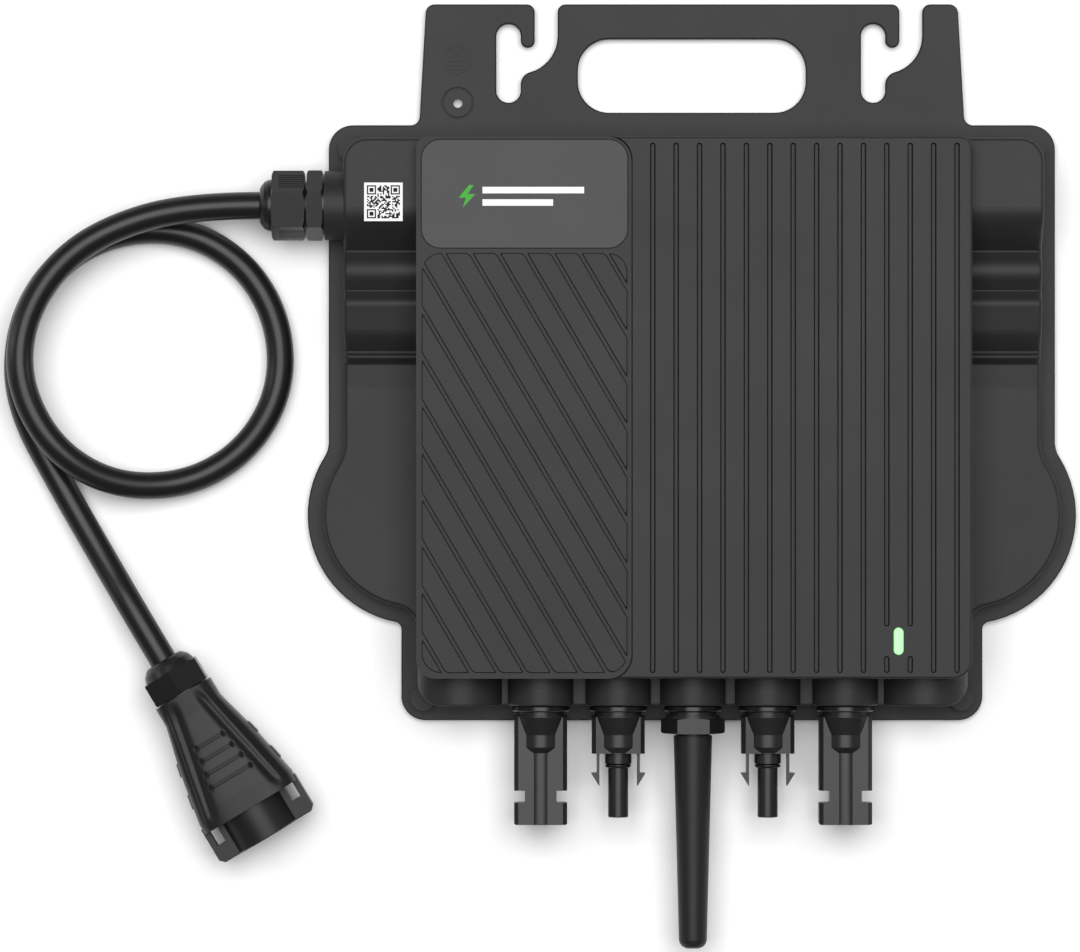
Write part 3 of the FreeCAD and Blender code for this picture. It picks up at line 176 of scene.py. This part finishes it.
def makeGrainGroup():
    # Powder coat and moulded skin: fine round grain over a slower orange peel, with a slow
    # drift of tone and of polish.
    group, given, out = newGroup(
        "surfaceGrain",
        [
            ("Vector", "NodeSocketVector", None),
            ("Grain Size", "NodeSocketFloat", 2600.0),
            ("Drift", "NodeSocketFloat", 0.1),
            ("Colour", "NodeSocketColor", (0.05, 0.05, 0.05, 1)),
            ("Polish", "NodeSocketFloat", 0.5),
            ("Polish Drift", "NodeSocketFloat", 0.06),
        ],
        [("Colour", "NodeSocketColor"), ("Roughness", "NodeSocketFloat"), ("Height", "NodeSocketFloat")],
    )
    s = grainShape
    vector = given.outputs["Vector"]
    peelScale = math2(group, "MULTIPLY", given.outputs["Grain Size"], s["peelSize"])
    fine = noiseAt(group, vector, given.outputs["Grain Size"], *s["fine"])
    peel = noiseAt(group, vector, peelScale, *s["peel"])
    slow = noiseAt(group, vector, s["slowScale"], *s["slow"])
    finePart = math2(group, "MULTIPLY", fine, s["fineShare"])
    height = math2(group, "ADD", finePart, math2(group, "MULTIPLY", peel, 1 - s["fineShare"]))
    drift = math2(group, "MULTIPLY", math2(group, "SUBTRACT", slow, 0.5), given.outputs["Drift"])
    speckle = math2(group, "MULTIPLY", math2(group, "SUBTRACT", fine, 0.5), s["speckle"])
    tone = math2(group, "ADD", 1.0, math2(group, "ADD", drift, speckle))
    scaled = group.nodes.new("ShaderNodeVectorMath")
    scaled.operation = "SCALE"
    group.links.new(given.outputs["Colour"], scaled.inputs[0])
    group.links.new(tone, scaled.inputs["Scale"])
    group.links.new(scaled.outputs[0], out.inputs["Colour"])
    sway = math2(group, "MULTIPLY", math2(group, "SUBTRACT", slow, 0.5), given.outputs["Polish Drift"])
    sway = math2(group, "MULTIPLY", sway, s["polishSway"])
    rough = math2(group, "ADD", given.outputs["Polish"], sway, clamp=True)
    group.links.new(rough, out.inputs["Roughness"])
    group.links.new(height, out.inputs["Height"])
    return group


grainGroup = makeGrainGroup()

plainLook = {  # what a look has unless it says otherwise
    "grain": 2600.0,
    "drift": 0.1,
    "polishDrift": 0.05,
    "bump": 0.25,
    "depth": 0.00008,
    "metal": 0.0,
    "specular": 0.5,
    "coat": 0.0,
    "coatRough": 0.2,
}


def grainMaterial(name, look):
    look = {**plainLook, **look}
    material = bpy.data.materials.new(name)
    material.use_nodes = True
    tree = material.node_tree
    shader = tree.nodes["Principled BSDF"]
    place = tree.nodes.new("ShaderNodeTexCoord")
    group = tree.nodes.new("ShaderNodeGroup")
    group.node_tree = grainGroup
    tree.links.new(place.outputs["Object"], group.inputs["Vector"])
    group.inputs["Grain Size"].default_value = look["grain"]
    group.inputs["Drift"].default_value = look["drift"]
    group.inputs["Colour"].default_value = (*look["colour"], 1)
    group.inputs["Polish"].default_value = look["rough"]
    group.inputs["Polish Drift"].default_value = look["polishDrift"]
    bump = tree.nodes.new("ShaderNodeBump")
    bump.inputs["Strength"].default_value = look["bump"]
    bump.inputs["Distance"].default_value = look["depth"]
    tree.links.new(group.outputs["Height"], bump.inputs["Height"])
    tree.links.new(group.outputs["Colour"], shader.inputs["Base Color"])
    tree.links.new(group.outputs["Roughness"], shader.inputs["Roughness"])
    tree.links.new(bump.outputs["Normal"], shader.inputs["Normal"])
    shader.inputs["Metallic"].default_value = look["metal"]
    shader.inputs["Specular IOR Level"].default_value = look["specular"]
    shader.inputs["Coat Weight"].default_value = look["coat"]
    shader.inputs["Coat Roughness"].default_value = look["coatRough"]
    if "glow" in look:
        shader.inputs["Emission Color"].default_value = (*look["glow"], 1)
        shader.inputs["Emission Strength"].default_value = look["glowStrength"]
    return material


looks = {
    "powderCoat": {
        "colour": (0.0185, 0.0185, 0.019),
        "rough": 0.48,
        "specular": 0.2,
        "grain": 2400.0,
        "bump": 0.5,
        "depth": 0.0001,
    },
    "panelGloss": {
        "colour": (0.021, 0.021, 0.022),
        "rough": 0.32,
        "specular": 0.2,
        "grain": 900.0,
        "bump": 0.03,
        "coat": 0.03,
        "coatRough": 0.1,
    },
    "mouldedBlack": {
        "colour": (0.011, 0.011, 0.0115),
        "rough": 0.36,
        "specular": 0.3,
        "grain": 3200.0,
        "bump": 0.2,
    },
    "glandBlack": {
        "colour": (0.01, 0.01, 0.0105),
        "rough": 0.32,
        "specular": 0.3,
        "grain": 2800.0,
        "bump": 0.15,
    },
    "plugBlack": {
        "colour": (0.011, 0.011, 0.0115),
        "rough": 0.42,
        "specular": 0.22,
        "grain": 2600.0,
        "bump": 0.25,
    },
    "whipRubber": {
        "colour": (0.011, 0.011, 0.0115),
        "rough": 0.45,
        "specular": 0.25,
        "grain": 3000.0,
        "bump": 0.3,
    },
    "sealRubber": {
        "colour": (0.005, 0.005, 0.005),
        "rough": 0.28,
        "specular": 0.3,
        "grain": 1500.0,
        "bump": 0.1,
    },
    "cableJacket": {
        "colour": (0.008, 0.008, 0.0085),
        "rough": 0.34,
        "specular": 0.3,
        "grain": 1800.0,
        "bump": 0.15,
    },
    "screwSteel": {"colour": (0.55, 0.55, 0.56), "rough": 0.3, "metal": 1.0, "bump": 0.1},
    "contactBrass": {"colour": (0.8, 0.62, 0.3), "rough": 0.28, "metal": 1.0, "bump": 0.05},
    "contactTin": {"colour": (0.7, 0.7, 0.68), "rough": 0.32, "metal": 1.0, "bump": 0.05},
    "labelPaper": {"colour": (0.8, 0.8, 0.79), "rough": 0.5, "bump": 0.05},
    "inkBlack": {"colour": (0.006, 0.006, 0.006), "rough": 0.5, "specular": 0.1, "bump": 0.05},
    "markGreen": {"colour": (0.05, 0.36, 0.03), "rough": 0.35, "specular": 0.1, "bump": 0.03},
    "markWhite": {"colour": (0.8, 0.8, 0.8), "rough": 0.35, "specular": 0.2, "bump": 0.03},
    "lampGreen": {
        "colour": (0.1, 0.4, 0.1),
        "rough": 0.3,
        "bump": 0.02,
        "glow": (0.4, 0.85, 0.4),
        "glowStrength": 0.95,
    },
    "solderMask": {"colour": (0.02, 0.12, 0.05), "rough": 0.35, "coat": 0.4},
    "ferriteGrey": {"colour": (0.06, 0.06, 0.065), "rough": 0.6},
    "windingCopper": {"colour": (0.7, 0.3, 0.12), "rough": 0.3, "metal": 1.0},
    "sleeveBlue": {"colour": (0.03, 0.04, 0.07), "rough": 0.3},
    "filmRed": {"colour": (0.45, 0.07, 0.03), "rough": 0.3},
    "caseGrey": {"colour": (0.05, 0.055, 0.07), "rough": 0.35},
    "milledMetal": {"colour": (0.72, 0.72, 0.73), "rough": 0.35, "metal": 1.0},
    "siliconeGrey": {"colour": (0.3, 0.34, 0.4), "rough": 0.7},
    "terminalGreen": {"colour": (0.03, 0.25, 0.07), "rough": 0.4},
    "leadRed": {"colour": (0.25, 0.02, 0.02), "rough": 0.4},
}
materials = {name: grainMaterial(name, look) for name, look in looks.items()}

finishes = {
    "powderCoat": ["mounting_plate", "front_housing"],
    "panelGloss": ["name_panel"],
    "mouldedBlack": [
        "dc_socket_left",
        "dc_socket_right",
        "dc_plug_left",
        "dc_plug_right",
        "latch_left_outer",
        "latch_left_inner",
        "latch_right_outer",
        "latch_right_inner",
        "antenna_base",
        "plug_insert",
        "plug_claw",
        "gland_claw",
    ],
    "glandBlack": ["gland_body", "gland_cap_nut", "plug_nut"],
    "plugBlack": ["plug_shell"],
    "whipRubber": ["antenna_whip"],
    "sealRubber": [
        "panel_seals",
        "dc_plug_rings",
        "gland_washer",
        "gland_seal",
        "plug_cable_seal",
        "plug_face_seal",
        "cover_gasket",
    ],
    "cableJacket": ["ac_cable", "cable_tail", "plug_cable_end", "antenna_lead"],
    "screwSteel": ["cover_screws", "board_screws", "radio_shield"],
    "contactBrass": ["plug_contacts"],
    "contactTin": [
        "dc_socket_contact_left",
        "dc_socket_contact_right",
        "dc_plug_contact_left",
        "dc_plug_contact_right",
        "antenna_core",
    ],
    "labelPaper": ["code_label"],
    "lampGreen": ["light_pipe", "status_lamp"],
    "solderMask": ["circuit_board", "radio_board"],
    "ferriteGrey": ["transformer_cores", "choke_core"],
    "windingCopper": ["transformer_windings", "choke_winding"],
    "sleeveBlue": ["capacitors"],
    "filmRed": ["film_capacitors"],
    "caseGrey": ["relay", "power_transistors"],
    "milledMetal": ["heat_spreader"],
    "siliconeGrey": ["thermal_pad"],
    "terminalGreen": ["ac_terminal"],
    "leadRed": ["ac_leads", "dc_leads", "plug_cores"],
}


def dressNodes():
    for look, names in finishes.items():
        for name in names:
            data = nodes[name].data
            data.materials.clear()
            data.materials.append(materials[look])
    left = sorted(set(nodes) - {n for names in finishes.values() for n in names})
    print("nodes dressed:", len(nodes) - len(left), "left plain:", left)


def gridFaces(rows, columns, closeRows):
    # Quads of a grid whose columns wrap round: each cell joins a point, its neighbour round the
    # ring and the same two points on the next row. With closeRows the last row meets the first.
    row, column = np.meshgrid(np.arange(rows if closeRows else rows - 1), np.arange(columns), indexing="ij")
    nextRow, nextColumn = (row + 1) % rows, (column + 1) % columns
    corners = [row * columns + column, row * columns + nextColumn]
    corners += [nextRow * columns + nextColumn, nextRow * columns + column]
    return np.stack([c.ravel() for c in corners], axis=1)


def pieceFromGrids(name, grids, look, sharpAngle=38.0):
    # grids holds (points, faces) pairs in millimetres; they become one smooth-shaded mesh in
    # metres, with edges kept sharp where faces meet at more than sharpAngle degrees.
    points = np.concatenate([p.reshape(-1, 3) for p, _ in grids]) * mm
    starts = np.cumsum([0] + [p.size // 3 for p, _ in grids[:-1]])
    faces = np.concatenate([f + start for (_, f), start in zip(grids, starts)])
    data = bpy.data.meshes.new(name)
    data.from_pydata(points.tolist(), [], faces.tolist())
    data.shade_smooth()
    data.set_sharp_from_angle(angle=math.radians(sharpAngle))
    data.materials.append(materials[look])
    piece = bpy.data.objects.new(name, data)
    bpy.context.scene.collection.objects.link(piece)
    return piece


plugBody = {
    "heading": -59.0,  # degrees from +X
    "back": 13.75,
    "lip": 61.0,
    "end": 73.4,
    "flare": [  # along and half width, as the other pairs are
        (13.7, 11.2),
        (20.8, 11.2),
        (25.0, 12.2),
        (31.5, 13.9),
        (40.1, 15.9),
        (48.7, 17.5),
        (57.3, 19.1),
    ],
    "tall": [(13.7, 10.6), (22.0, 10.6), (54.0, 13.6), (61.0, 13.7)],
    "squareness": 3.4,
    "broad": (0.55, 0.85),  # share of the half height where the broad faces' relief sets in
    "fade": 6.0,  # mm over which the relief dies out at either end
    "fadeStop": 1.0,
    "stations": 150,
    "ringPoints": 256,
    "panelHalf": [(14.0, 3.2), (30.0, 6.2), (61.0, 12.6)],
    "channelDepth": 1.0,
    "channelWidth": 1.5,
    "railDepth": 0.4,
    "railAway": 3.3,  # channel widths
    "railWidth": 0.5,
    "ridges": [(33.2, 5.4), (38.1, 6.2), (43.0, 7.2), (47.9, 8.1)],
    "ridgeRise": 0.22,
    "ridgeWidth": 0.5,
    "ridgeEase": 0.6,
    "pitDepth": 0.9,
    "pitAway": 0.2,
    "pitLong": 0.8,
    "pitWide": 0.55,
    "bumps": [(34.0, 39.5), (45.5, 51.5)],
    "bumpRise": 0.55,
    "bumpEase": 0.5,
    "flank": (2.5, 4.0),  # mm from mid height where the side bumps end
    "spigot": [(7.5, 6.7), (7.5, 8.2), (15.2, 8.2), (15.2, 10.3)],  # along and radius, under the nut
    "shroud": 12.3,
    "shroudEase": 0.4,
    "mouth": 10.6,
    "inside": [  # along and radius, from the mouth to the cable's hole
        (67.6, 10.6),
        (67.6, 10.3),
        (44.0, 10.3),
        (40.0, 8.6),
        (24.0, 8.6),
        (19.0, 5.2),
        (13.0, 5.2),
        (13.0, 6.7),
    ],
}


def smoothStep(low, high, values):
    share = np.clip((values - low) / (high - low), 0, 1)
    return share * share * (3 - 2 * share)


def plugFlare():
    # Ring at station t: a rounded rectangle |x/w|^p + |y/h|^p = 1, whose half width w and half
    # height h follow the flare. Its broad faces sink by a bell-shaped channel either side of
    # the middle panel, and rise at the finger ridges, each ending in a pit.
    s = plugBody
    t = np.linspace(s["back"], s["lip"], s["stations"])[:, None]
    angle = np.linspace(0, 2 * math.pi, s["ringPoints"], endpoint=False)[None, :]
    wide = np.interp(t, *zip(*s["flare"]))
    tall = np.interp(t, *zip(*s["tall"]))
    power = 2 / s["squareness"]
    x = wide * np.sign(np.cos(angle)) * np.abs(np.cos(angle)) ** power
    y = tall * np.sign(np.sin(angle)) * np.abs(np.sin(angle)) ** power
    broad = smoothStep(*s["broad"], np.abs(y) / tall)
    fade = smoothStep(s["back"], s["back"] + s["fade"], t)
    fade = fade * (1 - smoothStep(s["lip"] - s["fade"], s["lip"] - s["fadeStop"], t))
    panel = np.interp(t, *zip(*s["panelHalf"]))
    away = np.abs(x) - panel
    channel = s["channelWidth"]
    sink = s["channelDepth"] * np.exp(-(((away - channel) / channel) ** 2))
    sink += s["railDepth"] * np.exp(-(((away - s["railAway"] * channel) / (s["railWidth"] * channel)) ** 2))
    sink = sink * fade
    for at, half in s["ridges"]:
        near = np.exp(-(((t - at) / s["ridgeWidth"]) ** 2))
        sink = sink - s["ridgeRise"] * near * (1 - smoothStep(half - s["ridgeEase"], half, np.abs(x)))
        aside = (np.abs(x) - half - s["pitAway"]) / s["pitWide"]
        sink = sink + s["pitDepth"] * np.exp(-(((t - at) / s["pitLong"]) ** 2 + aside**2))
    y = y - np.sign(y) * sink * broad
    flank = 1 - smoothStep(*s["flank"], np.abs(y))
    for low, high in s["bumps"]:
        on = smoothStep(low, low + s["bumpEase"], t) * (1 - smoothStep(high - s["bumpEase"], high, t))
        x = x + np.sign(x) * s["bumpRise"] * on * flank
    return x, y, t


def plugRounds(stations):
    # Rings of plain circles, from (t, radius) pairs.
    angle = np.linspace(0, 2 * math.pi, plugBody["ringPoints"], endpoint=False)[None, :]
    t, radius = (np.array(v)[:, None] for v in zip(*stations))
    return radius * np.cos(angle), radius * np.sin(angle), t


def toPlug(x, y, t):
    # From the plug's own axes (across, up, along) to the frame's: the plug lies at its heading.
    turn = math.radians(plugBody["heading"])
    along = np.array([math.cos(turn), math.sin(turn), 0])
    across = np.array([-math.sin(turn), math.cos(turn), 0])
    up = np.array([0, 0, 1.0])
    x, y, t = np.broadcast_arrays(x, y, t)
    return np.array(cableRoute[-1]) + x[..., None] * across + y[..., None] * up + t[..., None] * along


earFrame = {"inner": 10.9, "outer": 19.5, "half": 4.0, "start": 59.0, "tip": 1.7, "round": 0.35}
earWindow = {"near": 13.9, "far": 17.3, "start": 61.0, "end": 66.9}


def ringBetween(outer, inner, side):
    # Flat frame with a window: six rings of equal point counts, carried round its section as
    # front face, eased edge, side and back face.
    e = earFrame
    middle = outer.mean(axis=0)
    eased = middle + (outer - middle) * (1 - e["round"] / np.abs(outer - middle).max())
    rings = [(inner, e["half"]), (eased, e["half"]), (outer, e["half"] - e["round"])]
    rings += [(outer, e["round"] - e["half"]), (eased, -e["half"]), (inner, -e["half"])]
    layers = [toPlug(side * ring[:, 0], np.full(len(ring), level), ring[:, 1]) for ring, level in rings]
    faces = gridFaces(len(layers), len(outer), True)
    return np.stack(layers), faces if side > 0 else faces[:, ::-1]


def plugEars():
    e, w = earFrame, earWindow
    end, tip = plugBody["end"], e["tip"]
    outer = [(e["inner"], e["start"]), (e["outer"], e["start"]), (e["outer"], 0.5 * (e["start"] + end))]
    outer += [(e["outer"], end - tip), (e["outer"] - tip, end), (e["inner"], end)]
    inner = [(w["near"], w["start"]), (w["far"], w["start"]), (w["far"], 0.5 * (w["start"] + w["end"]))]
    inner += [(w["far"], w["end"]), (0.5 * (w["far"] + w["near"]), w["end"]), (w["near"], w["end"])]
    return [ringBetween(np.array(outer), np.array(inner), side) for side in (-1, 1)]


def makePlugBody():
    s = plugBody
    end, ease, shroud, mouth = s["end"], s["shroudEase"], s["shroud"], s["mouth"]
    back = plugRounds(s["spigot"] + [(s["back"], s["spigot"][-1][1])])
    front = [(s["lip"], shroud), (end - ease, shroud), (end, shroud - ease)]
    front += [(end, mouth + ease), (end - ease, mouth)] + s["inside"]
    rings = np.concatenate([toPlug(*part) for part in (back, plugFlare(), plugRounds(front))])
    body = (rings, gridFaces(len(rings), s["ringPoints"], True))
    piece = pieceFromGrids("plugBody", [body] + plugEars(), "plugBlack")
    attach(piece, "enclosure")
    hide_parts("plug_shell")
    print("plug body", len(piece.data.vertices), "points")
    return piece


def blocksOnTop(corners, low, high):
    # Thin upright blocks from an array of (x0, y0, x1, y1) rows: eight corners and six faces each.
    x0, y0, x1, y1 = corners.T
    ring = np.stack([np.stack(c, axis=1) for c in ((x0, y0), (x1, y0), (x1, y1), (x0, y1))], axis=1)
    points = [np.concatenate([ring, np.full(ring.shape[:2] + (1,), z)], axis=2) for z in (low, high)]
    points = np.concatenate(points, axis=1)
    cube = np.array([(3, 2, 1, 0), (4, 5, 6, 7), (0, 1, 5, 4), (1, 2, 6, 5), (2, 3, 7, 6), (3, 0, 4, 7)])
    faces = (cube[None] + 8 * np.arange(len(corners))[:, None, None]).reshape(-1, 4)
    return points.reshape(-1, 3), faces


panelMark = {
    "boltX": 12.2,  # mm from the panel's left edge
    "boltHigh": 8.0,
    "boltShape": [  # across and up, as shares of the bolt's height
        (0.58, 1.0),
        (0.12, 0.44),
        (0.44, 0.44),
        (0.3, 0.0),
        (0.86, 0.6),
        (0.52, 0.6),
        (0.78, 1.0),
    ],
    "barsX": 21.6,
    "barLengths": (36.0, 25.0),
    "barHigh": 2.3,
    "barGap": 2.1,
    "middle": 0.477,  # share of the panel's height
    "thick": 0.08,
}


def makePanelMark():
    s = panelMark
    low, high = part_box("name_panel")
    left, top = low[0] / mm, high[2] / mm
    middle = (low[1] + (high[1] - low[1]) * s["middle"]) / mm
    # A plain bolt: one slanted stroke down, a step to the right, one slanted stroke down.
    flat = np.array(s["boltShape"]) * s["boltHigh"] + (left + s["boltX"], middle - s["boltHigh"] / 2)
    count = len(flat)
    layers = [np.column_stack([flat, np.full(count, top + rise)]) for rise in (0.0, s["thick"])]
    data = bpy.data.meshes.new("panelBolt")
    sides = [(k, (k + 1) % count, count + (k + 1) % count, count + k) for k in range(count)]
    caps = [tuple(range(count - 1, -1, -1)), tuple(range(count, 2 * count))]
    data.from_pydata((np.concatenate(layers) * mm).tolist(), [], sides + caps)
    data.materials.append(materials["markGreen"])
    bolt = bpy.data.objects.new("panelBolt", data)
    bpy.context.scene.collection.objects.link(bolt)
    step = s["barHigh"] + s["barGap"]
    rows = []
    for k, length in enumerate(s["barLengths"]):
        x, y = left + s["barsX"], middle + step / 2 - k * step
        rows.append((x, y - s["barHigh"] / 2, x + length, y + s["barHigh"] / 2))
    bars = pieceFromGrids("panelBars", [blocksOnTop(np.array(rows), top, top + s["thick"])], "markWhite")
    for piece, slot in ((bolt, "terminal_green"), (bars, "label_paper")):
        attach(piece, "enclosure")
    print("panel marked")


labelGrid = {"cells": 25, "margin": 0.07, "seed": 11, "darkShare": 0.5, "thick": 0.03, "finder": 7}


def makeLabelCells():
    # A made-up square pattern that encodes nothing: random cells from a fixed seed, with a
    # nested square in three corners.
    s = labelGrid
    low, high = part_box("code_label")
    count, size = s["cells"], s["finder"]
    dark = np.random.default_rng(s["seed"]).random((count, count)) < s["darkShare"]
    eye = np.ones((size, size), bool)
    eye[1:-1, 1:-1] = False
    eye[2:-2, 2:-2] = True
    near, far = slice(0, size), slice(-size, None)
    for rows, columns in ((near, near), (near, far), (far, near)):
        dark[rows, columns] = eye
    dark[size, : size + 1] = dark[: size + 1, size] = False
    dark[size, -size - 1 :] = dark[: size + 1, -size - 1] = False
    dark[-size - 1, : size + 1] = dark[-size - 1 :, size] = False
    inner = (high[0] - low[0]) / mm * (1 - 2 * s["margin"])
    cell = inner / count
    left = low[0] / mm + (high[0] - low[0]) / mm * s["margin"]
    up = high[1] / mm - (high[1] - low[1]) / mm * s["margin"]
    row, column = np.nonzero(dark)
    x, y = left + column * cell, up - row * cell
    corners = np.column_stack([x, y - cell, x + cell, y])
    top = high[2] / mm
    cells = pieceFromGrids("labelCells", [blocksOnTop(corners, top, top + s["thick"])], "inkBlack")
    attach(cells, "enclosure")
    print("label cells", len(row))


cableFloor = 5.0
cableRoute = [  # mm, from the gland's mouth to the back of the plug
    (-154.7, 77.5, 18.0),
    (-181.6, 77.5, 18.1),
    (-211.4, 68.4, 18.4),
    (-229.8, 54.0, 18.6),
    (-240.6, 33.5, 18.6),
    (-240.5, 11.3, 18.5),
    (-228.0, -10.6, 18.0),
    (-207.2, -22.8, 12.0),
    (-181.6, -22.5, 5.4),
    (-160.3, -10.3, cableFloor),
    (-147.8, 11.0, cableFloor),
    (-148.2, 35.6, cableFloor),
    (-160.3, 56.9, cableFloor),
    (-181.6, 69.4, cableFloor),
    (-207.7, 69.0, cableFloor),
    (-229.5, 56.6, cableFloor),
    (-242.3, 34.2, cableFloor),
    (-242.6, 6.5, cableFloor),
    (-225.0, -25.6, cableFloor),
    (-210.4, -50.5, 7.6),
    (-199.8, -68.0, 14.0),
    (-189.5, -85.2, 14.2),
]
cableSettings = {
    "diameter": 9.8,  # mm
    "length": 0.529,  # m
    "ring": 8,
    "order": 3,
    "steps": 12,
}


def makeCable(plugPiece):
    data = bpy.data.curves.new("acCable", "CURVE")
    data.dimensions = "3D"
    spline = data.splines.new("NURBS")
    spline.points.add(len(cableRoute) - 1)
    for point, (x, y, z) in zip(spline.points, cableRoute):
        point.co = (x * mm, y * mm, z * mm, 1)
    spline.order_u = cableSettings["order"]
    spline.use_endpoint_u = True
    spline.resolution_u = cableSettings["steps"]
    data.bevel_depth = cableSettings["diameter"] / 2 * mm
    data.bevel_resolution = cableSettings["ring"]
    data.use_fill_caps = True
    data.materials.append(materials["cableJacket"])
    cable = bpy.data.objects.new("acCable", data)
    bpy.context.scene.collection.objects.link(cable)
    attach(cable, "enclosure")
    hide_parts("ac_cable")
    carried = [plugPiece, "plug_nut", "plug_claw", "plug_insert", "plug_contacts", "plug_cores"]
    carried += ["plug_cable_seal", "plug_face_seal", "plug_cable_end"]
    print("cable laid")


addCamera()
addWorld()
addLights()
addFloor()
dressNodes()
makeCable(makePlugBody())
makePanelMark()
makeLabelCells()
